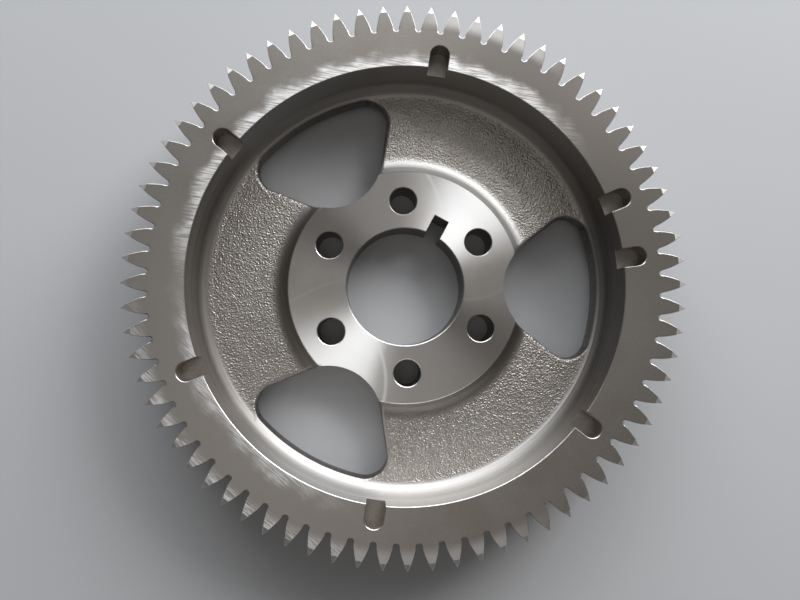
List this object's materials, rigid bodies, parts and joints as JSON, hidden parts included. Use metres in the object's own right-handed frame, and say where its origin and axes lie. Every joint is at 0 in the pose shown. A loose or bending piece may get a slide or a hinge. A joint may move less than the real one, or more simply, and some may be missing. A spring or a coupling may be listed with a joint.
{
  "type": "timing gear",
  "caption": "Spur timing gear with deep slender teeth, a recessed web with lightening windows, a bolt-on hub with a keyed bore, and sensor notches in the rim.",
  "frame": {"origin": "on the gear's axis, in the plane of the back faces of the rim and hub", "axes": "+Z along the axis towards the recessed front face; +X through the middle of a tooth and of a window"},
  "size_m": [0.1924, 0.1924, 0.033],
  "materials": {
    "gear_iron": "turned bright on the hub, rim and recess wall, hobbed teeth, rough as-cast web"
  },
  "bodies": {
    "root": {"timing_gear": "gear_iron"}
  },
  "joints": []
}
